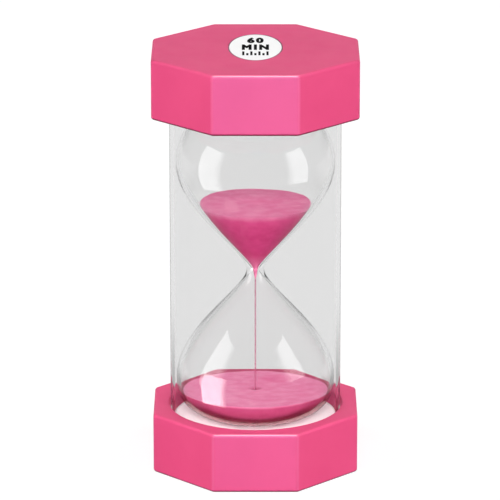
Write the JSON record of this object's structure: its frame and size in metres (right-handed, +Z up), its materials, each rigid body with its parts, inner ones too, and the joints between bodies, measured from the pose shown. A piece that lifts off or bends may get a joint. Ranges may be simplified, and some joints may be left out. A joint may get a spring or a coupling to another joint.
{
  "type": "hourglass",
  "caption": "Sand timer: a two-bulb glass vessel with flowing sand in a clear tube between two octagonal moulded caps.",
  "frame": {"origin": "centre of the bottom cap's outer face, which it stands on", "axes": "+Z up along the tube, with a flat side of the caps looking along -Y and +X to the right of it"},
  "size_m": [0.0764, 0.0764, 0.16],
  "materials": {
    "cap_plastic": "satin moulded plastic, pink",
    "white_foam": "closed-cell foam, white",
    "clear_tube": "clear extruded plastic tube",
    "vessel_glass": "clear blown glass",
    "plug_silicone": "translucent silicone",
    "pink_sand": "fine dyed sand",
    "label_print": "white printed sticker"
  },
  "bodies": {
    "root": {"bottom_cap_shell": "cap_plastic", "bottom_cap_collar": "cap_plastic", "lower_foam_pad": "white_foam", "outer_tube": "clear_tube", "glass_vessel": "vessel_glass", "filling_plug": "plug_silicone", "sand_upper": "pink_sand", "sand_stream": "pink_sand", "sand_lower": "pink_sand", "upper_foam_pad": "white_foam", "top_cap_collar": "cap_plastic", "top_cap_shell": "cap_plastic", "time_label": "label_print"}
  },
  "joints": []
}
